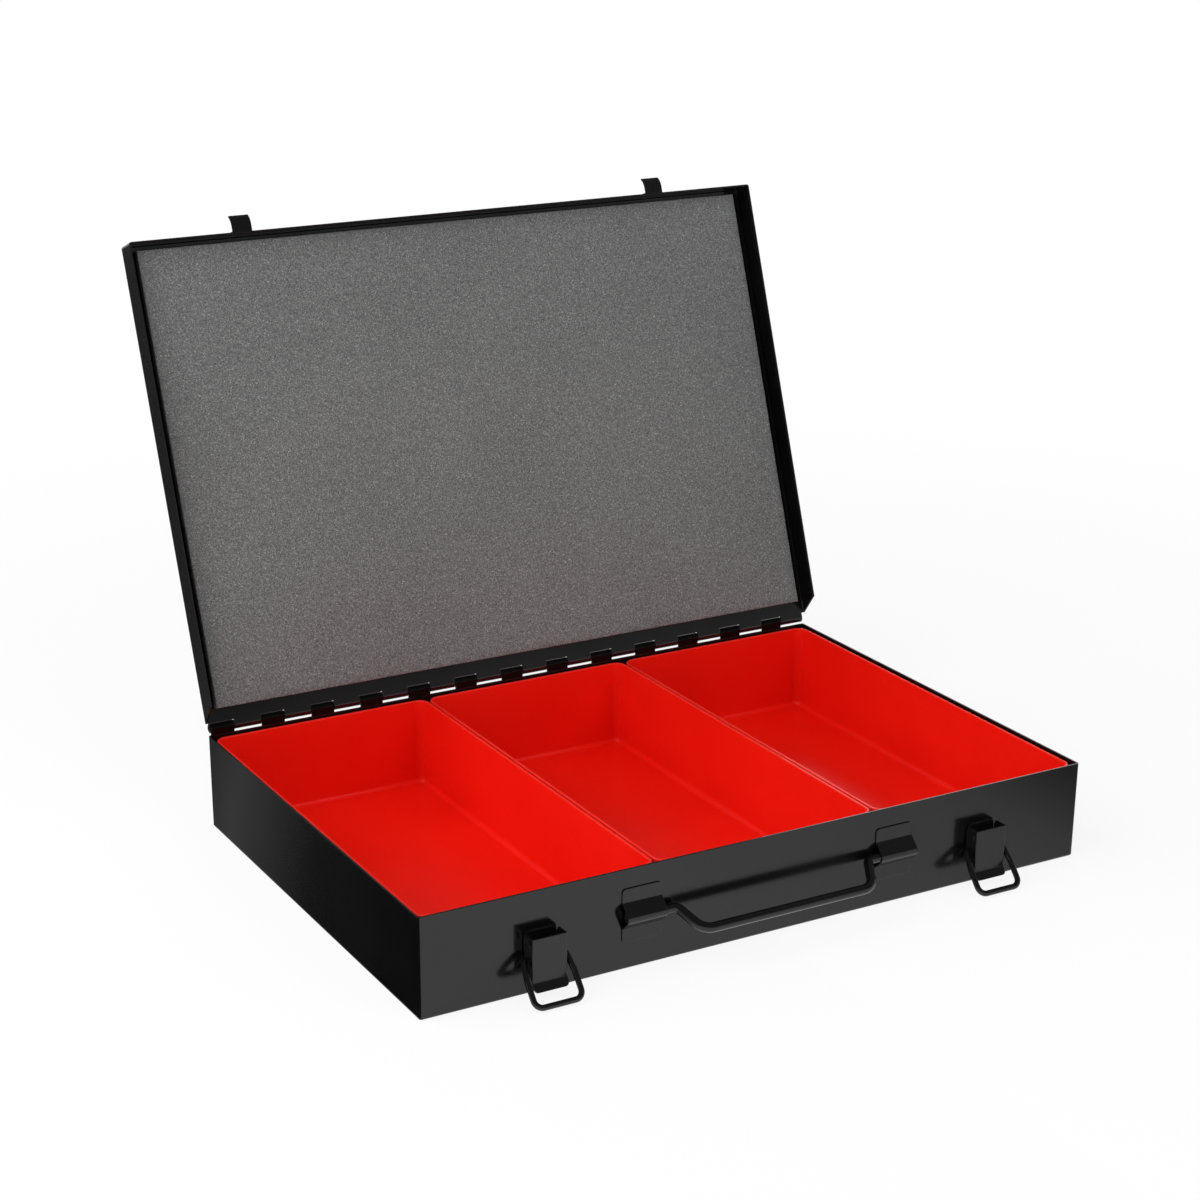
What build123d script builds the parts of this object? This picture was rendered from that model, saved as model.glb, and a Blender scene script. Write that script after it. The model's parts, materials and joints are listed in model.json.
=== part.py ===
from build123d import *
import math
import os

# Sheet-steel compartment case, millimetres.
# X runs to the right, Y to the back and Z up; the origin is the centre of the base's bottom face.
# The case stands open: every lid piece is drawn shut and then swung back by lid_open.

# Case tray
case_width = 457.2
case_depth = 304.8
wall_height = 62.8
sheet = 1.0
bend_outer = 1.6

# Lid
lid_open = 110.0
rim_gap = 0.7
lid_side_gap = 0.5
lid_front_gap = 1.1
skirt_drop = 16.0
skirt_end_lean = 10.8

# Hinge
hinge_wire_d = 4.0
shaft_fit = 0.05
tab_count = 13
tab_margin = 1.3
tab_width = 15.9
tab_side_gap = 0.5
notch_gap = 0.3
tab_roll_turn = 280.0
knuckle_roll_turn = 292.0

# Foam under the lid plate
foam_thick = 6.0
foam_side_margin = 6.4
foam_front_margin = 3.0
foam_rear_margin = 8.5
foam_corner = 1.0

# Loose bins
bin_count = 3
bin_wall = 1.8
bin_floor = 2.0
bin_wall_gap = 1.5
bin_gap = 1.2
bin_seat_gap = 0.3
bin_rim_drop = 1.5
bin_corner = 8.0
bin_draft = 1.2
bin_floor_round = 3.5
bin_foot_bevel = 3.0
bin_rim_bevel = 0.4

# Latches, placed by their distance out from the front wall and their height
latch_inset = 75.4
lever_pivot_out = 7.3
lever_pivot_z = 34.6
bail_pivot_out = 4.8
bail_pivot_z = 23.85
lever_width = 22.0
lever_sheet = 1.0
lever_face_out = 11.3
lever_top_z = 38.8
lever_bottom_z = 12.4
lever_bend = 0.6
lever_lip_out = 3.4
lever_lip_drop = 5.6
lever_lip_corner = 2.6
lever_top_lobe = 6.4
lever_bail_lobe = 3.3

# Latch pin and bracket
latch_pin_d = 3.0
latch_pin_head_d = 4.4
latch_pin_head = 0.4
latch_pin_head_gap = 0.2
bracket_sheet = 1.0
bracket_ear_gap = 0.4
bracket_lobe = 2.65
bracket_neck_angle = 195.0
bracket_ear_foot_z = 22.0
bracket_bottom_z = 19.5
bracket_top_z = 39.5
bracket_corner = 2.5

# Bail
bail_wire_d = 3.6
bail_shoulder_gap = 0.5
bail_leg_gap = 2.25
bail_flare_length = 12.0
bail_length = 28.0
bail_bend = 2.2
bail_flare_bend = 20.0
bail_corner = 5.0
bail_stub_inside = 0.1
bail_rest_angle = 41.0

# Catch hooks on the lid's front skirt
hook_width = 13.3
hook_sheet = 1.0
hook_flange_top_z = 60.0
hook_shelf_z = 49.7
hook_run = 4.2
hook_radius = 9.0
hook_turn = 50.0
hook_tip_run = 0.3
hook_bend = 0.5
hook_corner = 2.0

# Carrying handle and its clips
handle_wire_d = 6.0
handle_axis_out = 4.0
handle_axis_z = 34.0
handle_reach = 19.2
handle_droop = 28.0
handle_splay = 67.0
handle_elbow_bend = 4.5
handle_grip_bend = 10.0
handle_end_inset = 1.0
handle_elbow_gap = 4.9
clip_centre = 87.6
clip_width = 26.0
clip_sheet = 0.8
clip_slope_reach = 7.9
clip_flange = 8.9
clip_bend = 1.2
clip_corner = 2.5

# Worked out from the values above
front_y = -case_depth / 2
rear_y = case_depth / 2
plate_under_z = wall_height + rim_gap
plate_top_z = plate_under_z + sheet
skirt_rim_z = plate_under_z - skirt_drop
roll_inner_r = hinge_wire_d / 2 + shaft_fit
roll_outer_r = roll_inner_r + sheet
hinge_y = rear_y + roll_inner_r
hinge_z = plate_top_z + roll_inner_r
plate_rear_y = rear_y - sheet - notch_gap
lid_inner_x = case_width / 2 + lid_side_gap
lid_inner_front_y = front_y - lid_front_gap
tab_cell = (case_width - 2 * tab_margin) / tab_count
knuckle_width = tab_cell - tab_width - 2 * tab_side_gap
skirt_out = lid_front_gap + sheet
latch_centre = case_width / 2 - latch_inset
bail_shoulder_x = lever_width / 2 + bail_shoulder_gap + bail_wire_d / 2
bail_leg_x = lever_width / 2 + bail_leg_gap + bail_wire_d / 2

LEFT_RIGHT = (("left", -1), ("right", 1))


def from_wall(out, z):
    """A point of the Y-Z plane, given by its distance out from the front wall and its height."""
    return (front_y - out, z)


def across(face, width, centre=0.0):
    """Extrudes a face drawn in the Y-Z plane along X, half of the width to each side of centre."""
    return Pos(centre, 0, 0) * extrude(Plane.YZ * face, width / 2, both=True)


def strip(points, radii, thickness, side):
    """The section of a bent sheet: a filleted line, thickened to one side."""
    line = FilletPolyline(*points, radius=radii)
    return make_face(offset(line, amount=thickness, side=side).edges())


def polar(centre, radius, degrees):
    """The point at a distance and an angle from a centre."""
    turn = math.radians(degrees)
    return (centre[0] + radius * math.cos(turn), centre[1] + radius * math.sin(turn))


def tangent_points(centre_a, radius_a, centre_b, radius_b, side):
    """Where the outer tangent line on one side of two circles touches them."""
    dx = centre_b[0] - centre_a[0]
    dy = centre_b[1] - centre_a[1]
    along = math.degrees(math.atan2(dy, dx))
    off = math.degrees(math.acos((radius_a - radius_b) / math.hypot(dx, dy)))
    angle = along + side * off
    return polar(centre_a, radius_a, angle), polar(centre_b, radius_b, angle)


def disc(centre, radius):
    return Pos(centre[0], centre[1]) * Circle(radius)


def opened(shape):
    """Swings a lid piece from shut to the open stop."""
    return shape.rotate(Axis((0, hinge_y, hinge_z), (-1, 0, 0)), lid_open)


def round_rod(path, diameter):
    """Sweeps a round bar along a path of lines and arcs."""
    start = path ^ 0
    section = Plane(origin=start.position, z_dir=start.z_axis.direction) * Circle(diameter / 2)
    return sweep(section, path=path)


def roll_section(start_angle, turn):
    """The curled end of a hinge leaf, as a ring sector about the hinge line."""
    centre = (hinge_y, hinge_z)
    end_angle = start_angle + turn
    outer = CenterArc(centre, roll_outer_r, start_angle, turn)
    inner = CenterArc(centre, roll_inner_r, start_angle, turn)
    first = Line(polar(centre, roll_inner_r, start_angle), polar(centre, roll_outer_r, start_angle))
    last = Line(polar(centre, roll_inner_r, end_angle), polar(centre, roll_outer_r, end_angle))
    return make_face([outer.edge(), inner.edge(), first.edge(), last.edge()])


def rectangle_between(y_low, y_high, z_low, z_high):
    return Pos((y_low + y_high) / 2, (z_low + z_high) / 2) * Rectangle(y_high - y_low, z_high - z_low)


def open_box(width, depth, height, inner_width, inner_depth, inner_height, outer_r, inner_r):
    """A folded tray: a rounded block with its cavity cut from the top."""
    align = (Align.CENTER, Align.CENTER, Align.MIN)
    block = Box(width, depth, height, align=align)
    block = fillet(block.edges().filter_by(Axis.Z) + block.faces().sort_by(Axis.Z)[0].edges(), outer_r)
    cavity = Pos(0, 0, height - inner_height) * Box(inner_width, inner_depth, 2 * inner_height, align=align)
    cavity = fillet(cavity.edges().filter_by(Axis.Z) + cavity.faces().sort_by(Axis.Z)[0].edges(), inner_r)
    return block - cavity


def case_tray():
    """The folded tray with the hinge tabs that rise from its rear wall and roll round the wire."""
    inner = bend_outer - sheet
    tray = open_box(
        case_width,
        case_depth,
        wall_height,
        case_width - 2 * sheet,
        case_depth - 2 * sheet,
        wall_height - sheet,
        bend_outer,
        inner,
    )
    shank = rectangle_between(rear_y - sheet, rear_y, wall_height, hinge_z)
    tab = across(shank + roll_section(180, -tab_roll_turn), tab_width)
    for i in range(tab_count):
        tray += Pos(tab_x(i), 0, 0) * tab
    return tray


def tab_x(index):
    return -case_width / 2 + tab_margin + index * tab_cell + tab_side_gap + tab_width / 2


def knuckle_x(index):
    return -case_width / 2 + tab_margin + (index + 1) * tab_cell - knuckle_width / 2


def hinge_wire():
    wire = Cylinder(hinge_wire_d / 2, case_width - 2 * tab_margin, rotation=(0, 90, 0))
    return Pos(0, hinge_y, hinge_z) * wire


def lid_shell():
    """The lid plate with its front and side skirts, and the knuckles rolled from its rear edge."""
    outer_x = lid_inner_x + sheet
    outer_front_y = lid_inner_front_y - sheet
    depth = plate_rear_y - outer_front_y
    height = plate_top_z - skirt_rim_z
    block = Pos(0, (plate_rear_y + outer_front_y) / 2, (plate_top_z + skirt_rim_z) / 2) * Box(
        2 * outer_x, depth, height
    )
    bends = block.edges().filter_by(Axis.Z).group_by(Axis.Y)[0]
    top = block.faces().sort_by(Axis.Z)[-1].edges().sort_by(Axis.Y)[:-1]
    block = fillet(bends + top, bend_outer)
    hollow = Pos(0, (plate_rear_y + lid_inner_front_y) / 2, plate_under_z - height) * Box(
        2 * lid_inner_x, plate_rear_y - lid_inner_front_y, 2 * height
    )
    inner_bends = hollow.edges().filter_by(Axis.Z).group_by(Axis.Y)[0]
    inner_top = hollow.faces().sort_by(Axis.Z)[-1].edges().sort_by(Axis.Y)[:-1]
    hollow = fillet(inner_bends + inner_top, bend_outer - sheet)
    shell = block - hollow
    lean = make_face(
        Polyline(
            (plate_rear_y, plate_under_z),
            (plate_rear_y - skirt_end_lean, skirt_rim_z),
            (plate_rear_y - skirt_end_lean, skirt_rim_z - sheet),
            (plate_rear_y + sheet, skirt_rim_z - sheet),
            (plate_rear_y + sheet, plate_under_z),
            (plate_rear_y, plate_under_z),
        )
    )
    shell -= across(lean, 2 * outer_x + 2 * sheet)
    leaf = rectangle_between(plate_rear_y, hinge_y, plate_under_z, plate_top_z)
    knuckle = across(leaf + roll_section(-90, knuckle_roll_turn), knuckle_width)
    for i in range(tab_count):
        shell += Pos(knuckle_x(i), 0, 0) * knuckle
    return opened(shell)


def foam_pad():
    """The flat foam sheet glued under the lid plate."""
    low_y = lid_inner_front_y + foam_front_margin
    high_y = plate_rear_y - foam_rear_margin
    width = 2 * (lid_inner_x - foam_side_margin)
    pad = Box(width, high_y - low_y, foam_thick)
    pad = fillet(pad.edges().filter_by(Axis.Z), foam_corner)
    return opened(Pos(0, (low_y + high_y) / 2, plate_under_z - foam_thick / 2) * pad)


def organizer_bin(centre_x):
    """A moulded bin with drafted walls, rounded corners, a floor rounded inside and bevelled below."""
    width = bin_width()
    depth = case_depth - 2 * sheet - 2 * bin_wall_gap
    bottom_z = sheet + bin_seat_gap
    rim_z = wall_height - bin_rim_drop
    height = rim_z - bottom_z
    outline = RectangleRounded(width, depth, bin_corner)
    outer = extrude(Plane.XY.offset(rim_z) * outline, -height, taper=bin_draft)
    outer = chamfer(outer.faces().sort_by(Axis.Z)[0].edges(), bin_foot_bevel)
    mouth = RectangleRounded(width - 2 * bin_wall, depth - 2 * bin_wall, bin_corner - bin_wall)
    inner = extrude(Plane.XY.offset(rim_z) * mouth, -(height - bin_floor), taper=bin_draft)
    inner = fillet(inner.faces().sort_by(Axis.Z)[0].edges(), bin_floor_round)
    shell = outer - inner
    shell = chamfer(shell.faces().sort_by(Axis.Z)[-1].edges(), bin_rim_bevel)
    return Pos(centre_x, 0, 0) * shell


def bin_width():
    room = case_width - 2 * sheet - 2 * bin_wall_gap
    return (room - (bin_count - 1) * bin_gap) / bin_count


def bin_x(index):
    return (index - (bin_count - 1) / 2) * (bin_width() + bin_gap)


def catch_hook(side):
    """A strip spot-welded to the front skirt, bent out into a shelf with an upturned nose."""
    under_z = hook_shelf_z - hook_sheet
    nose_corner = skirt_out + hook_run + hook_radius * math.tan(math.radians(hook_turn / 2))
    nose_length = hook_radius * math.tan(math.radians(hook_turn / 2)) + hook_tip_run
    nose = math.radians(hook_turn)
    points = [
        from_wall(skirt_out, hook_flange_top_z),
        from_wall(skirt_out, under_z),
        from_wall(nose_corner, under_z),
        from_wall(nose_corner + nose_length * math.cos(nose), under_z + nose_length * math.sin(nose)),
    ]
    hook = across(strip(points, [hook_bend, hook_radius], hook_sheet, Side.RIGHT), hook_width)
    flange_top = hook.faces().sort_by(Axis.Z)[-1]
    hook = fillet(flange_top.edges().filter_by(Axis.Y), hook_corner)
    return opened(Pos(side * latch_centre, 0, 0) * hook)


def cheek_face():
    """The side of a lever: flush with the face's top, a lobe round each pivot and a tapered tail."""
    pivot = from_wall(lever_pivot_out, lever_pivot_z)
    bail = from_wall(bail_pivot_out, bail_pivot_z)
    tail = from_wall(lever_face_out - lever_sheet, lever_bottom_z)
    back = tangent_points(pivot, lever_top_lobe, bail, lever_bail_lobe, 1)
    under = tangent_points(bail, lever_bail_lobe, tail, 0, 1)
    outline = make_face(
        Polyline(
            from_wall(lever_face_out, lever_top_z),
            from_wall(lever_pivot_out, lever_top_z),
            pivot,
            back[0],
            back[1],
            under[0],
            tail,
            from_wall(lever_face_out, lever_bottom_z),
            from_wall(lever_face_out, lever_top_z),
        )
    )
    room = rectangle_between(front_y - lever_face_out, front_y, lever_bottom_z, lever_top_z)
    return (outline + disc(pivot, lever_top_lobe) + disc(bail, lever_bail_lobe)) & room


def latch_lever(side):
    """A channel folded from sheet: face, two cheeks that turn on the pin, and a flared lip."""
    pivot = from_wall(lever_pivot_out, lever_pivot_z)
    bail = from_wall(bail_pivot_out, bail_pivot_z)
    inner_width = lever_width - 2 * lever_sheet
    solid = across(cheek_face(), lever_width)
    pocket = rectangle_between(
        front_y - lever_face_out + lever_sheet,
        front_y + lever_face_out,
        lever_bottom_z - lever_lip_drop,
        lever_top_z + lever_top_lobe,
    )
    solid -= across(pocket, inner_width)
    corners = solid.edges().filter_by(Axis.Z).group_by(Axis.Y)[0]
    solid = fillet(corners, lever_bend)
    lip_points = [
        from_wall(lever_face_out - lever_sheet, lever_bottom_z),
        from_wall(lever_face_out - lever_sheet, lever_bottom_z - lever_bend),
        from_wall(lever_face_out - lever_sheet + lever_lip_out, lever_bottom_z - lever_lip_drop),
    ]
    lip = across(strip(lip_points, [lever_bend], lever_sheet, Side.RIGHT), lever_width)
    lip_end = lip.faces().sort_by(Axis.Z)[0]
    lip = fillet(lip_end.edges().filter_by(Axis.X, reverse=True), lever_lip_corner)
    solid += lip
    solid -= across(disc(pivot, latch_pin_d / 2 + shaft_fit), 2 * lever_width)
    solid -= across(disc(bail, bail_wire_d / 2 + shaft_fit), 2 * lever_width)
    return Pos(side * latch_centre, 0, 0) * solid


def latch_pivot_pin(side):
    """A peened pin through both ears and both cheeks."""
    pivot = from_wall(lever_pivot_out, lever_pivot_z)
    head_x = lever_width / 2 + latch_pin_head_gap
    pin = across(disc(pivot, latch_pin_d / 2), 2 * head_x)
    for end in (-1, 1):
        head = across(disc(pivot, latch_pin_head_d / 2), latch_pin_head, end * (head_x + latch_pin_head / 2))
        outer_rim = head.faces().sort_by(Axis.X)[0 if end < 0 else -1].edges()
        pin += chamfer(outer_rim, latch_pin_head / 2)
    return Pos(side * latch_centre, 0, 0) * pin


def latch_bracket(side):
    """A base plate on the wall with two ears that reach up and out to the pivot."""
    pivot = from_wall(lever_pivot_out, lever_pivot_z)
    ear_outer = lever_width / 2 - lever_sheet - bracket_ear_gap
    neck_angle = 180 - bracket_neck_angle
    neck = polar(pivot, bracket_lobe, neck_angle)
    neck_length = (lever_pivot_out - bracket_sheet) / math.cos(math.radians(neck_angle))
    neck_root = polar(pivot, neck_length, neck_angle)
    foot = from_wall(bracket_sheet, bracket_ear_foot_z)
    front = tangent_points(foot, 0, pivot, bracket_lobe, 1)
    ear = make_face(Polyline(pivot, neck, neck_root, foot, front[1], pivot)) + disc(pivot, bracket_lobe)
    height = bracket_top_z - bracket_bottom_z
    plate = Box(2 * ear_outer, bracket_sheet, height)
    plate = fillet(plate.edges().filter_by(Axis.Y), bracket_corner)
    plate_z = (bracket_top_z + bracket_bottom_z) / 2
    bracket = Pos(0, front_y - bracket_sheet / 2, plate_z) * plate
    for end in (-1, 1):
        bracket += across(ear, bracket_sheet, end * (ear_outer - bracket_sheet / 2))
    bracket -= across(disc(pivot, latch_pin_d / 2), 2 * lever_width)
    return Pos(side * latch_centre, 0, 0) * bracket


def latch_bail(side):
    """A wire loop whose turned-in ends pass through the cheeks, hanging clear of the wall."""
    stub = lever_width / 2 - lever_sheet - bail_stub_inside
    right_half = [
        (stub, 0),
        (bail_shoulder_x, 0),
        (bail_leg_x, -bail_flare_length),
        (bail_leg_x, -bail_length),
    ]
    left_half = [(-x, y) for x, y in reversed(right_half)]
    radii = [bail_bend, bail_flare_bend, bail_corner]
    path = FilletPolyline(*right_half, *left_half, radius=radii + radii[::-1])
    down = math.radians(bail_rest_angle)
    away = (0, -math.sin(down), -math.cos(down))
    loop_plane = Plane(
        origin=(side * latch_centre, front_y - bail_pivot_out, bail_pivot_z),
        x_dir=(1, 0, 0),
        z_dir=Vector(1, 0, 0).cross(Vector(away) * -1),
    )
    return round_rod(loop_plane * path, bail_wire_d)


def handle_clip(side):
    """A strap folded round the handle wire, its two flanges spot-welded to the front wall."""
    upper_z = handle_axis_z + clip_slope_reach
    lower_z = handle_axis_z - clip_slope_reach
    to_axis = math.atan2(-clip_slope_reach, handle_axis_out)
    inner_r = handle_wire_d / 2 + shaft_fit
    slope = to_axis + math.asin(inner_r / math.hypot(clip_slope_reach, handle_axis_out))
    apex_out = clip_slope_reach / math.tan(-slope)
    points = [
        from_wall(0, upper_z + clip_flange),
        from_wall(0, upper_z),
        from_wall(apex_out, handle_axis_z),
        from_wall(0, lower_z),
        from_wall(0, lower_z - clip_flange),
    ]
    clip = across(strip(points, [clip_bend, inner_r, clip_bend], clip_sheet, Side.RIGHT), clip_width)
    ends = clip.faces().sort_by(Axis.Z)
    corners = ends[0].edges().filter_by(Axis.Y) + ends[-1].edges().filter_by(Axis.Y)
    return Pos(side * clip_centre, 0, 0) * fillet(corners, clip_corner)


def handle_wire():
    """A round wire: its ends turn in the clips, its legs splay inward to the straight grip."""
    clip_inner_x = clip_centre - clip_width / 2
    bend_run = handle_elbow_bend * math.tan(math.radians(handle_splay / 2))
    elbow_x = clip_inner_x - handle_elbow_gap - bend_run
    grip_x = elbow_x - handle_reach / math.tan(math.radians(handle_splay))
    end_x = clip_centre + clip_width / 2 - handle_end_inset
    points = [
        (-end_x, 0),
        (-elbow_x, 0),
        (-grip_x, -handle_reach),
        (grip_x, -handle_reach),
        (elbow_x, 0),
        (end_x, 0),
    ]
    radii = [handle_elbow_bend, handle_grip_bend]
    path = FilletPolyline(*points, radius=radii + radii[::-1])
    droop = math.radians(handle_droop)
    away = (0, -math.cos(droop), -math.sin(droop))
    handle_plane = Plane(
        origin=(0, front_y - handle_axis_out, handle_axis_z),
        x_dir=(1, 0, 0),
        z_dir=Vector(1, 0, 0).cross(Vector(away) * -1),
    )
    return round_rod(handle_plane * path, handle_wire_d)


def build_nodes():
    nodes = {
        "case_tray": case_tray(),
        "hinge_wire": hinge_wire(),
        "lid_shell": lid_shell(),
        "foam_pad": foam_pad(),
        "handle_wire": handle_wire(),
    }
    for index, name in enumerate(("left", "middle", "right")):
        nodes["bin_" + name] = organizer_bin(bin_x(index))
    for name, side in LEFT_RIGHT:
        nodes["catch_hook_" + name] = catch_hook(side)
        nodes["latch_bracket_" + name] = latch_bracket(side)
        nodes["latch_pivot_pin_" + name] = latch_pivot_pin(side)
        nodes["latch_lever_" + name] = latch_lever(side)
        nodes["latch_bail_" + name] = latch_bail(side)
        nodes["handle_clip_" + name] = handle_clip(side)
    return nodes


os.makedirs("parts", exist_ok=True)
for node_name, solid in build_nodes().items():
    export_step(solid, "parts/" + node_name + ".step")
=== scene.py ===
import json
import math

import bmesh
import bpy
from mathutils import Matrix, Vector, noise

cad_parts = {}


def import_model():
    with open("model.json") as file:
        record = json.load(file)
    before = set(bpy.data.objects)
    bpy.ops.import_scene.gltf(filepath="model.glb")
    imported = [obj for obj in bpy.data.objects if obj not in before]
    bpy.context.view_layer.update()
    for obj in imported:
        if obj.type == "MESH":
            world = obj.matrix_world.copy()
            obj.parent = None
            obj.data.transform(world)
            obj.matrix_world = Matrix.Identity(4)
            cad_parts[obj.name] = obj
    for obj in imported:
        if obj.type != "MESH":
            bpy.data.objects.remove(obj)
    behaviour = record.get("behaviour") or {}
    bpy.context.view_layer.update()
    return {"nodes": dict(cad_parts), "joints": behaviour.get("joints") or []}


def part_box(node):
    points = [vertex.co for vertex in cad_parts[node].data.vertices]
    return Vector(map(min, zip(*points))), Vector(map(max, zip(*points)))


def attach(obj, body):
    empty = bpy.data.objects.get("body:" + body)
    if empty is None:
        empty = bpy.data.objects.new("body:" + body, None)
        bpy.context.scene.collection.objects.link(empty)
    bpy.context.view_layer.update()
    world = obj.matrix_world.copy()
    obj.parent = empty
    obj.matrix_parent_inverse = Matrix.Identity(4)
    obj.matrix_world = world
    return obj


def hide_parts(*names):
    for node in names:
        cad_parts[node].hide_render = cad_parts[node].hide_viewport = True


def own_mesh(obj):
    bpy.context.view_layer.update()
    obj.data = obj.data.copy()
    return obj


# The looks of the compartment case, in metres, in the frame of its solids.
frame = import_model()
nodes = frame["nodes"]

MM = 0.001

# Camera, solved from the photograph's straight edges
camera_place = Vector((-752.19, -1253.79, 651.33)) * MM
camera_azimuth = math.radians(-28.842)
camera_elevation = math.radians(21.272)
camera_lens = 74.988
camera_sensor = 36
camera_shift = (0.0399, 0.1002)
camera_clip_end = 50

# Surround: pale up to the first height, a dim room from the second
surround_top = (math.sin(math.radians(7)), math.sin(math.radians(17)))
room_level = 0.13

# Bright patch of the surround, behind the case on the right
rear_glow_azimuth = math.radians(37)
rear_glow_elevation = math.radians(21.3)
rear_glow_edge = (math.cos(math.radians(14)), math.cos(math.radians(5)))
rear_glow_level = 2.2

# Floor: its reach, the share of plain white beside the case, and where that share grows to all
floor_reach = 6.0
floor_drop = 0.2 * MM
floor_tone = 0.9
floor_roughness = 0.8
floor_white = 0.88
floor_fade = (0.35, 1.1)

# Height above the case's foot of the reflection cards, glowing sheets that paint dark and bright
# reflections in the coats
card_lift = 0.3 * MM

# Nearly all noise values lie between these
noise_span = (0.1, 0.9)

# Lid, from its joint in the record
lid_joint = next(j for j in frame["joints"] if j["name"] == "lid_hinge")
lid_open = math.radians(-lid_joint["range_deg"][0])
hinge_point = Vector(lid_joint["pos_m"])


class Nodes:
    """A short way to add and join the shader nodes of a material or a world."""

    def __init__(self, owner):
        owner.use_nodes = True
        self.tree = owner.node_tree
        self.tree.nodes.clear()

    def add(self, kind, settings=None, **inputs):
        node = self.tree.nodes.new(kind)
        for name, value in (settings or {}).items():
            setattr(node, name, value)
        for name, value in inputs.items():
            self.set(node, name.replace("_", " "), value)
        return node

    def set(self, node, socket, value):
        """Joins a node's socket, given by name or number, to another socket, or gives it a value."""
        if isinstance(value, bpy.types.NodeSocket):
            self.tree.links.new(value, node.inputs[socket])
        else:
            node.inputs[socket].default_value = value

    def operate(self, kind, operation, inputs):
        node = self.add(kind, {"operation": operation})
        for index, value in enumerate(inputs):
            self.set(node, index, value)
        return node

    def math(self, operation, *inputs):
        return self.operate("ShaderNodeMath", operation, inputs).outputs[0]

    def vector_math(self, operation, *inputs):
        """The number, not the vector, that comes out of a vector operation."""
        return self.operate("ShaderNodeVectorMath", operation, inputs).outputs["Value"]

    def place(self):
        """The place on the object, in metres, by which patterns are laid."""
        return self.add("ShaderNodeTexCoord").outputs["Object"]

    def ramp(self, value, stops):
        node = self.add("ShaderNodeValToRGB", Fac=value)
        elements = node.color_ramp.elements
        while len(elements) < len(stops):
            elements.new(0.5)
        for element, (spot, colour) in zip(elements, stops):
            element.position = spot
            element.color = (*colour, 1)
        return node.outputs["Color"]

    def mix_colours(self, share, first, second, blend="MIX"):
        node = self.add("ShaderNodeMix", {"data_type": "RGBA", "blend_type": blend})
        share_in, first_in, second_in, colour_out = 0, 6, 7, 2
        self.set(node, share_in, share)
        self.set(node, first_in, first)
        self.set(node, second_in, second)
        return node.outputs[colour_out]

    def map_range(self, value, low, high, to_low, to_high):
        node = self.add("ShaderNodeMapRange", Value=value)
        limits = {"From Min": low, "From Max": high, "To Min": to_low, "To Max": to_high}
        for name, number in limits.items():
            self.set(node, name, number)
        return node.outputs["Result"]

    def noise(self, place, scale, detail, roughness):
        node = self.add("ShaderNodeTexNoise", Vector=place, Scale=scale, Detail=detail, Roughness=roughness)
        return node.outputs["Fac"]

    def bump(self, height, strength, distance, **normal):
        node = self.add("ShaderNodeBump", Height=height, Strength=strength, Distance=distance, **normal)
        return node.outputs["Normal"]

    def edge_mask(self, radius, low, high):
        """1 along sharp edges and 0 on flats, from how far a bevelled normal turns from the true one."""
        bevelled = self.add("ShaderNodeBevel", {"samples": 4}, Radius=radius).outputs["Normal"]
        true_normal = self.add("ShaderNodeNewGeometry").outputs["Normal"]
        likeness = self.vector_math("DOT_PRODUCT", bevelled, true_normal)
        return self.map_range(likeness, high, low, 0, 1), bevelled


def new_material(name):
    """A material, its nodes, its Principled shader, and the place on the object that wears it."""
    material = bpy.data.materials.new(name)
    made = Nodes(material)
    shader = made.add("ShaderNodeBsdfPrincipled")
    made.add("ShaderNodeOutputMaterial", Surface=shader.outputs["BSDF"])
    return material, made, shader, made.place()


def powder_coat(name, tone, edge_wear_highlight_tone, roughness, grain_depth, specular):
    """Black baked coating: fine orange peel, faint cloudiness, and edges paler in patches, partly rubbed
    wear and partly a painted highlight.
    """
    dark_share, pale_share = 0.4, 1.6
    edge_radius = 0.7 * MM
    edge_low, edge_high = 0.78, 0.995
    edge_blue = 1.03
    edge_patch_from, edge_patch_to, least_edge_patch = 0.35, 0.6, 0.2
    peel_from, peel_to, peel_gloss = 0.3, 0.7, 0.02
    smoothest, roughest = roughness - 0.05, roughness + 0.055
    grain_share = 0.35
    grain_height = 0.02 * MM

    material, made, shader, place = new_material(name)
    cloud = made.noise(place, scale=9.0, detail=3.0, roughness=0.55)
    peel = made.noise(place, scale=900.0, detail=2.0, roughness=0.6)
    grain = made.noise(place, scale=3200.0, detail=1.0, roughness=0.5)
    edge, soft_normal = made.edge_mask(edge_radius, edge_low, edge_high)
    base = made.ramp(cloud, [
        (noise_span[0], (tone * dark_share,) * 3),
        (noise_span[1], (tone * pale_share,) * 3),
    ])
    # Paler colour along the edges, in patches: partly rubbed wear, partly a painted highlight.
    edge_wear_and_highlight = made.math("MULTIPLY", edge, made.map_range(peel, edge_patch_from, edge_patch_to, least_edge_patch, 1.0))
    worn_and_highlit_edge = (edge_wear_highlight_tone, edge_wear_highlight_tone, edge_wear_highlight_tone * edge_blue, 1)
    made.set(shader, "Base Color", made.mix_colours(edge_wear_and_highlight, base, worn_and_highlit_edge))
    shader.inputs["Specular IOR Level"].default_value = specular
    wide_gloss = made.map_range(cloud, *noise_span, smoothest, roughest)
    fine_gloss = made.map_range(peel, peel_from, peel_to, -peel_gloss, peel_gloss)
    made.set(shader, "Roughness", made.math("ADD", wide_gloss, fine_gloss))
    height = made.math("ADD", peel, made.math("MULTIPLY", grain, grain_share))
    made.set(shader, "Normal", made.bump(height, grain_depth, grain_height, Normal=soft_normal))
    return material


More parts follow.
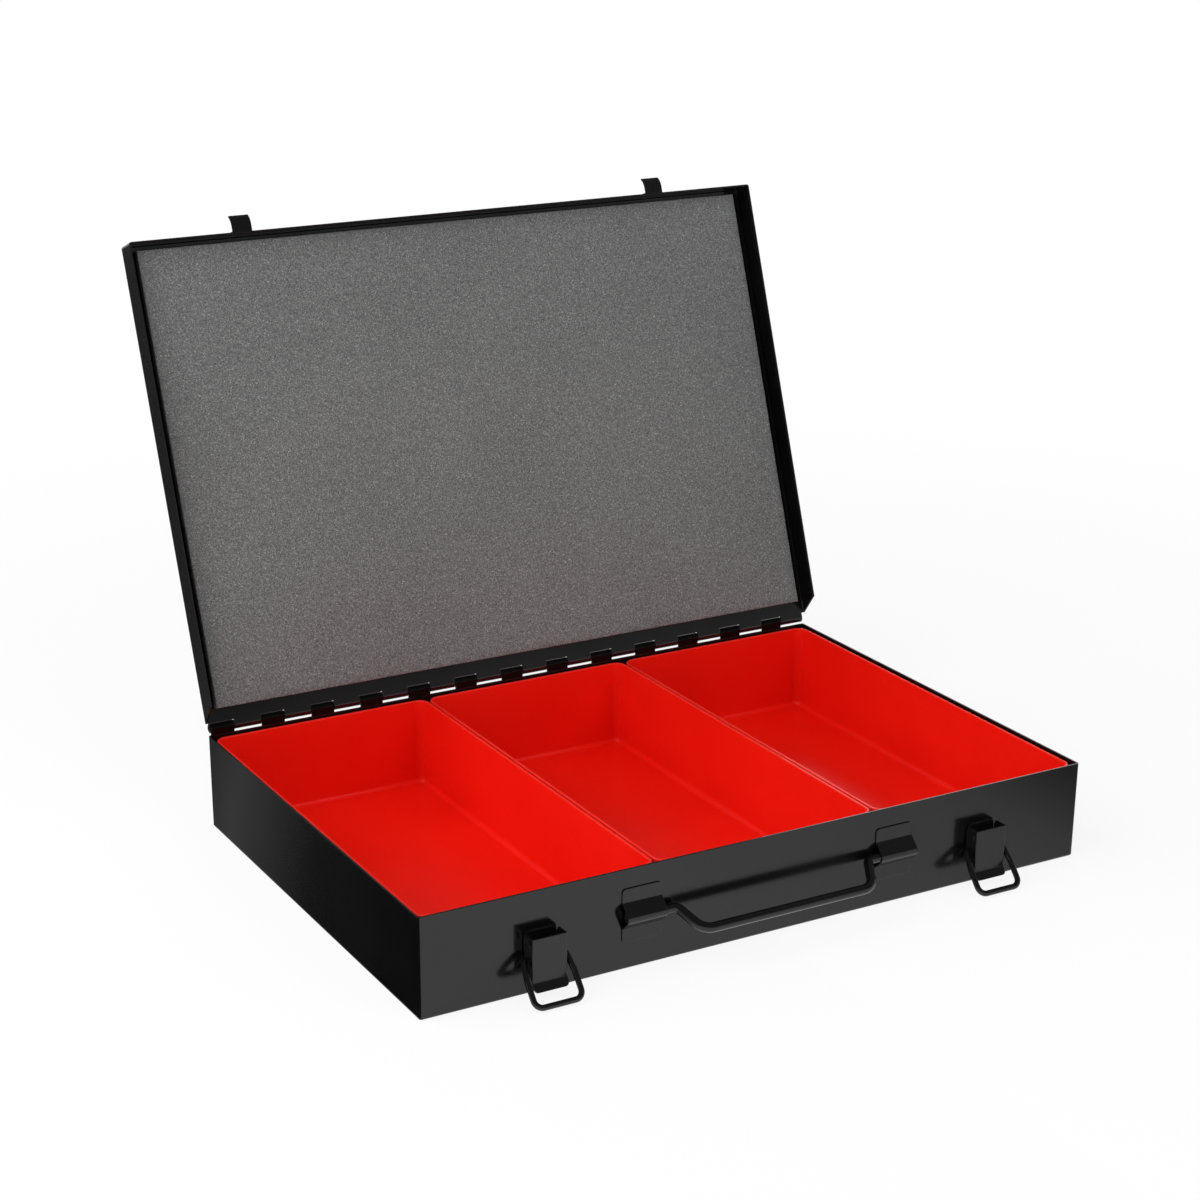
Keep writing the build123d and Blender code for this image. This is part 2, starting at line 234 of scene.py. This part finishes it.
def red_plastic():
    """Moulded plastic: an even strong red with a faint satin grain and flow marks, and polished edges with
    a pale pink colour that is a painted highlight along the rims.
    """
    deep_red = (0.705, 0.0060, 0.0024)
    full_red = (0.805, 0.0100, 0.0034)
    rim_highlight_pink = (0.95, 0.11, 0.08, 1)
    rim_highlight_share = 0.75
    edge_radius = 0.6 * MM
    edge_low, edge_high = 0.80, 0.995
    edge_polish = 0.22
    smoothest, roughest = 0.285, 0.365
    grain_depth = 0.10
    grain_height = 0.02 * MM

    material, made, shader, place = new_material("red_plastic")
    flow = made.noise(place, scale=14.0, detail=2.0, roughness=0.5)
    grain = made.noise(place, scale=1500.0, detail=2.0, roughness=0.5)
    edge, soft_normal = made.edge_mask(edge_radius, edge_low, edge_high)
    base = made.ramp(flow, [(noise_span[0], deep_red), (noise_span[1], full_red)])
    # Pale pink along the edges: a painted highlight on the rims.
    rim_highlight_part = made.math("MULTIPLY", edge, rim_highlight_share)
    made.set(shader, "Base Color", made.mix_colours(rim_highlight_part, base, rim_highlight_pink))
    shader.inputs["Specular IOR Level"].default_value = 0.28
    satin = made.map_range(flow, *noise_span, smoothest, roughest)
    polish = made.math("MULTIPLY", edge, edge_polish)
    made.set(shader, "Roughness", made.math("SUBTRACT", satin, polish))
    made.set(shader, "Normal", made.bump(grain, grain_depth, grain_height, Normal=soft_normal))
    return material


def grey_foam():
    """Open-cell foam: fine light and dark cells over a mid grey, fully matt."""
    cell_tones = [
        (0.30, (0.0475, 0.050, 0.051)),
        (0.45, (0.119, 0.122, 0.121)),
        (0.57, (0.171, 0.176, 0.175)),
        (0.72, (0.40, 0.415, 0.412)),
    ]
    wide_tones = [(noise_span[0], (0.86,) * 3), (noise_span[1], (1.08,) * 3)]
    fine_share, blotch_share = 0.75, 0.25
    fine_from, fine_to = 0.3, 0.7
    smoothest, roughest = 0.86, 1.0
    blotch_pits = 0.8
    pit_depth = 0.45
    pit_height = 0.35 * MM

    material, made, shader, place = new_material("grey_foam")
    cells = made.add("ShaderNodeTexVoronoi", {"feature": "F1"}, Vector=place, Scale=760.0, Randomness=1.0)
    fine = made.noise(place, scale=1700.0, detail=1.0, roughness=0.6)
    blotch = made.noise(place, scale=600.0, detail=2.0, roughness=0.6)
    wide = made.noise(place, scale=7.0, detail=2.0, roughness=0.5)
    fine_part = made.math("MULTIPLY", fine, fine_share)
    blotch_part = made.math("MULTIPLY", blotch, blotch_share)
    base = made.ramp(made.math("ADD", fine_part, blotch_part), cell_tones)
    shade = made.mix_colours(1.0, base, made.ramp(wide, wide_tones), "MULTIPLY")
    made.set(shader, "Base Color", shade)
    made.set(shader, "Roughness", made.map_range(fine, fine_from, fine_to, smoothest, roughest))
    shader.inputs["Specular IOR Level"].default_value = 0.15
    pits = made.math("ADD", cells.outputs["Distance"], made.math("MULTIPLY", blotch, blotch_pits))
    made.set(shader, "Normal", made.bump(pits, pit_depth, pit_height))
    return material


def dress(material, *names):
    """Gives the named solids of the frame one material."""
    for name in names:
        slots = nodes[name].material_slots
        if not slots:
            nodes[name].data.materials.append(material)
        for slot in slots:
            slot.material = material


def both(stem):
    """The names of the left and the right piece of a pair."""
    return [stem + "_left", stem + "_right"]


def linked_object(name, mesh, material):
    """Puts a mesh into the scene as an object with one material."""
    placed = bpy.data.objects.new(name, mesh)
    bpy.context.scene.collection.objects.link(placed)
    mesh.materials.append(material)
    return placed


def join_loops(shape, first, second):
    """Closes the band between two loops of vertices with faces."""
    for i in range(len(first)):
        j = (i + 1) % len(first)
        shape.faces.new((first[i], first[j], second[j], second[i]))


def finished_mesh(name, shape):
    """Turns a bmesh into a mesh whose faces all look outward."""
    bmesh.ops.recalc_face_normals(shape, faces=shape.faces)
    mesh = bpy.data.meshes.new(name)
    shape.to_mesh(mesh)
    shape.free()
    return mesh


def foam_pad():
    """The foam sheet under the lid: cut edges that waver a little, and a slightly soft face."""
    thick = 6.0 * MM
    steps_x, steps_y = 90, 60
    edge_round = 0.7 * MM
    inset = 0.25 * MM
    edge_waver = 0.16 * MM
    edge_pattern = (19, 13, 2.5)
    face_waver = 0.10 * MM
    face_pattern = (5, 4, 3.7)
    face_sink = 0.12 * MM

    low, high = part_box("foam_pad")
    centre = (low + high) / 2
    normal = Vector((0, -math.sin(lid_open), -math.cos(lid_open)))
    up = Vector((0, -math.cos(lid_open), math.sin(lid_open)))
    half_width = (high.x - low.x) / 2 - inset
    height = (high.z - low.z - thick * abs(normal.z)) / abs(up.z)
    half_height = height / 2 - inset

    # Rings round the pad: depth as a share of the thickness, and how far the edge's rounding pulls in
    rings = [
        (-0.5, 0.0),
        (-0.18, 0.12),
        (0.18, 0.10),
        (0.5 - edge_round / thick, 0.0),
        (0.5 - 0.3 * edge_round / thick, 0.35),
        (0.5, 1.0),
    ]
    across = [-1 + 2 * i / steps_x for i in range(steps_x)]
    along = [-1 + 2 * i / steps_y for i in range(steps_y)]
    outline = [(u, -1) for u in across] + [(1, v) for v in along]
    outline += [(-u, 1) for u in across] + [(-1, -v) for v in along]

    def edge_spot(u, v, depth, pull):
        pattern = Vector((u * edge_pattern[0], v * edge_pattern[1], depth * edge_pattern[2]))
        waver = noise.noise(pattern) * edge_waver
        x = u * (half_width - pull * edge_round + (waver if abs(u) == 1 else 0))
        y = v * (half_height - pull * edge_round + (waver if abs(v) == 1 else 0))
        return centre + Vector((x, 0, 0)) + up * y + normal * depth * thick

    def face_spot(u, v):
        pattern = Vector((u * face_pattern[0], v * face_pattern[1], face_pattern[2]))
        soft = noise.noise(pattern) * face_waver - face_sink
        x = u * (half_width - edge_round)
        y = v * (half_height - edge_round)
        return centre + Vector((x, 0, 0)) + up * y + normal * (thick / 2 + soft)

    shape = bmesh.new()
    loops = [[shape.verts.new(edge_spot(u, v, depth, pull)) for u, v in outline] for depth, pull in rings]
    shape.faces.new(list(reversed(loops[0])))
    for lower, upper in zip(loops, loops[1:]):
        join_loops(shape, lower, upper)
    grid = {}
    for vertex, (u, v) in zip(loops[-1], outline):
        grid[(round((u + 1) / 2 * steps_x), round((v + 1) / 2 * steps_y))] = vertex
    for i in range(1, steps_x):
        for j in range(1, steps_y):
            grid[(i, j)] = shape.verts.new(face_spot(across[i], along[j]))
    for i in range(steps_x):
        for j in range(steps_y):
            shape.faces.new((grid[(i, j)], grid[(i + 1, j)], grid[(i + 1, j + 1)], grid[(i, j + 1)]))
    mesh = finished_mesh("lid_foam", shape)
    for polygon in mesh.polygons:
        polygon.use_smooth = True
    foam = linked_object("lid_foam", mesh, grey_foam())
    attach(foam, "lid")
    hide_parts("foam_pad")
    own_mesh(foam)


def hinge_curls(coat):
    """The dull coat built up on each hinge tab: down its front, and over the top of its curl,
    where it stands close under the notch of the open lid."""
    tab_count = 13
    tab_margin = 1.3 * MM
    tab_side_gap = 0.5 * MM
    tab_width = 15.9 * MM
    wall_height = 62.8 * MM
    curl_radius = 3.05 * MM
    top_coat = 0.3 * MM
    front_coat = 0.04 * MM
    sunk = 0.15 * MM
    end_inset = 0.03 * MM
    back_turn = -80
    front_turn = 90
    steps = 30

    low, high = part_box("case_tray")
    pitch = (high.x - low.x - 2 * tab_margin) / tab_count
    outside = []
    inside = []
    for step in range(steps + 1):
        degrees = back_turn + (front_turn - back_turn) * step / steps
        end_coat = -sunk / 2 if degrees < 0 else front_coat
        end_turn = back_turn if degrees < 0 else front_turn
        depth = end_coat + (top_coat - end_coat) * math.cos(math.pi / 2 * degrees / end_turn)
        turn = math.radians(degrees)
        for line, radius in ((outside, curl_radius + depth), (inside, curl_radius - sunk)):
            line.append((hinge_point.y - radius * math.sin(turn), hinge_point.z + radius * math.cos(turn)))
    foot = [(outside[-1][0], wall_height), (inside[-1][0], wall_height)]
    section = outside + foot + inside[::-1]
    shape = bmesh.new()
    for tab in range(tab_count):
        start_x = low.x + tab_margin + tab * pitch + tab_side_gap
        ends = [start_x + end_inset, start_x + tab_width - end_inset]
        left, right = [[shape.verts.new((x, y, z)) for y, z in section] for x in ends]
        join_loops(shape, left, right)
        shape.faces.new(left)
        shape.faces.new(list(reversed(right)))
    curls = linked_object("hinge_curls", finished_mesh("hinge_curls", shape), coat)
    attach(curls, "case")


def level_sheet(name, low, high, z, material):
    """A level rectangle between two corners."""
    mesh = bpy.data.meshes.new(name)
    corners = [(low[0], low[1], z), (high[0], low[1], z), (high[0], high[1], z), (low[0], high[1], z)]
    mesh.from_pydata(corners, [], [(0, 1, 2, 3)])
    return linked_object(name, mesh, material)


def floor():
    """A plain pale floor that keeps a faint shadow of the case: to camera, mirror and see-through
    rays most of it is plain white."""
    material = bpy.data.materials.new("floor")
    made = Nodes(material)
    colour = (floor_tone, floor_tone, floor_tone, 1)
    matt = made.add("ShaderNodeBsdfPrincipled", Base_Color=colour, Roughness=floor_roughness)
    path = made.add("ShaderNodeLightPath").outputs
    seen = made.math("MAXIMUM", path["Is Camera Ray"], path["Is Glossy Ray"])
    seen = made.math("MAXIMUM", seen, path["Is Transmission Ray"])
    away = made.vector_math("LENGTH", made.place())
    share = made.math("MULTIPLY", seen, made.map_range(away, *floor_fade, floor_white, 1.0))
    white = made.add("ShaderNodeEmission", Color=(1, 1, 1, 1), Strength=1.0)
    mix = made.add("ShaderNodeMixShader", Fac=share)
    made.set(mix, 1, matt.outputs["BSDF"])
    made.set(mix, 2, white.outputs["Emission"])
    made.add("ShaderNodeOutputMaterial", Surface=mix.outputs["Shader"])
    plane = level_sheet("floor", (-floor_reach,) * 2, (floor_reach,) * 2, -floor_drop, material)


def reflection_card(name, low, high, lean, stops):
    """A glowing card that lies beside the case and is seen only in the gloss of the coats, where its tone
    is a painted reflection, dark or bright. The stops give its tone by the distance along the lean."""
    material = bpy.data.materials.new(name)
    made = Nodes(material)
    first = stops[0][0]
    span = stops[-1][0] - first
    along = made.vector_math("DOT_PRODUCT", made.place(), (*lean, 0.0))
    reach = made.map_range(along, first, first + span, 0, 1)
    tone = made.ramp(reach, [((spot - first) / span, (level,) * 3) for spot, level in stops])
    glow = made.add("ShaderNodeEmission", Color=tone, Strength=1.0)
    made.add("ShaderNodeOutputMaterial", Surface=glow.outputs["Emission"])
    card = level_sheet(name, low, high, card_lift, material)
    card.visible_camera = False
    card.visible_diffuse = False
    card.visible_shadow = False


def heading(azimuth, elevation):
    """The direction at an azimuth, clockwise from the back, and an elevation."""
    return Vector((
        math.sin(azimuth) * math.cos(elevation),
        math.cos(azimuth) * math.cos(elevation),
        math.sin(elevation),
    ))


def world():
    """A pale surround up to just above the horizon, a bright patch behind on the right, and a dim room."""
    setting = bpy.data.worlds.new("studio")
    bpy.context.scene.world = setting
    made = Nodes(setting)
    direction = made.add("ShaderNodeTexCoord").outputs["Generated"]
    height = made.add("ShaderNodeSeparateXYZ", Vector=direction).outputs["Z"]
    surround = made.map_range(height, *surround_top, 1.0, room_level)
    patch = heading(rear_glow_azimuth, rear_glow_elevation)
    likeness = made.vector_math("DOT_PRODUCT", direction, patch)
    glow = made.map_range(likeness, *rear_glow_edge, 0.0, rear_glow_level)
    level = made.math("MAXIMUM", surround, glow)
    sky = made.add("ShaderNodeBackground", Color=(1, 1, 1, 1), Strength=level)
    made.add("ShaderNodeOutputWorld", Surface=sky.outputs["Background"])


def area_light(name, place, aim, size, power):
    """A rectangular lamp that lights the case but isn't seen in its gloss."""
    data = bpy.data.lights.new(name, "AREA")
    data.shape = "RECTANGLE"
    data.size, data.size_y = size
    data.energy = power
    lamp = bpy.data.objects.new(name, data)
    lamp.visible_glossy = False
    lamp.location = place
    lamp.rotation_euler = (Vector(aim) - Vector(place)).to_track_quat("-Z", "Y").to_euler()
    bpy.context.scene.collection.objects.link(lamp)


def camera():
    """The camera that stands where the photograph was taken from."""
    data = bpy.data.cameras.new("camera")
    data.lens = camera_lens
    data.sensor_width = camera_sensor
    data.shift_x, data.shift_y = camera_shift
    data.clip_end = camera_clip_end
    eye = bpy.data.objects.new("camera", data)
    back = Vector((
        math.sin(camera_azimuth) * math.cos(camera_elevation),
        -math.cos(camera_azimuth) * math.cos(camera_elevation),
        math.sin(camera_elevation),
    ))
    right = Vector((math.cos(camera_azimuth), math.sin(camera_azimuth), 0))
    above = back.cross(right)
    turn = Matrix((right, above, back)).transposed()
    eye.matrix_world = Matrix.Translation(camera_place) @ turn.to_4x4()
    bpy.context.scene.collection.objects.link(eye)
    bpy.context.scene.camera = eye


# Coats, then the pieces that wear them
sheet_coat = powder_coat(
    "black_sheet", tone=0.0035, edge_wear_highlight_tone=0.006, roughness=0.15, grain_depth=0.10, specular=0.5
)
wire_coat = powder_coat(
    "black_wire", tone=0.0030, edge_wear_highlight_tone=0.004, roughness=0.09, grain_depth=0.03, specular=0.5
)
# The hinge tabs wear a darker copy of the black coat as painted shade, and its pale edge tone paints a
# highlight along the top of each curl.
hinge_shade_highlight_coat = powder_coat(
    "black_hinge_painted_shade", tone=0.0025, edge_wear_highlight_tone=0.028, roughness=0.20, grain_depth=0.10, specular=0.10
)
dress(sheet_coat, "case_tray", "lid_shell", *both("catch_hook"), *both("latch_bracket"))
dress(sheet_coat, *both("latch_lever"), *both("handle_clip"))
dress(wire_coat, "hinge_wire", "handle_wire", *both("latch_bail"), *both("latch_pivot_pin"))
dress(red_plastic(), "bin_left", "bin_middle", "bin_right")
foam_pad()
hinge_curls(hinge_shade_highlight_coat)

# Stage
floor()
# The left card paints a dark reflection in the left wall's gloss, darkest at the front and brighter towards
# the back; the right card paints a bright reflection in the front's gloss that fades to the right.
reflection_card("left_reflection_card", low=(-1.60, -0.32), high=(-0.2292, 2.40), lean=(2.11, 1.0), stops=[
    (-0.66, 0.0),
    (-0.60, 0.002),
    (-0.48, 0.028),
    (-0.357, 0.19),
    (-0.32, 0.12),
    (-0.25, 0.055),
])
reflection_card("right_reflection_card", low=(0.0, -0.90), high=(0.90, -0.1545), lean=(1.0, 0.0), stops=[
    (0.0, 0.95),
    (0.12, 0.82),
    (0.20, 0.74),
    (0.24, 0.63),
    (0.265, 0.50),
    (0.292, 0.36),
    (0.32, 0.22),
    (0.40, 0.15),
])

# Light and camera
world()
area_light("key", place=(-1.35, 0.1, 1.25), aim=(0, -0.1, 0.05), size=(2.0, 2.0), power=41)
area_light("front", place=(0.42, -1.55, 1.35), aim=(0, 0, 0.1), size=(1.6, 1.2), power=17)
camera()
bpy.context.scene.view_settings.view_transform = "Standard"
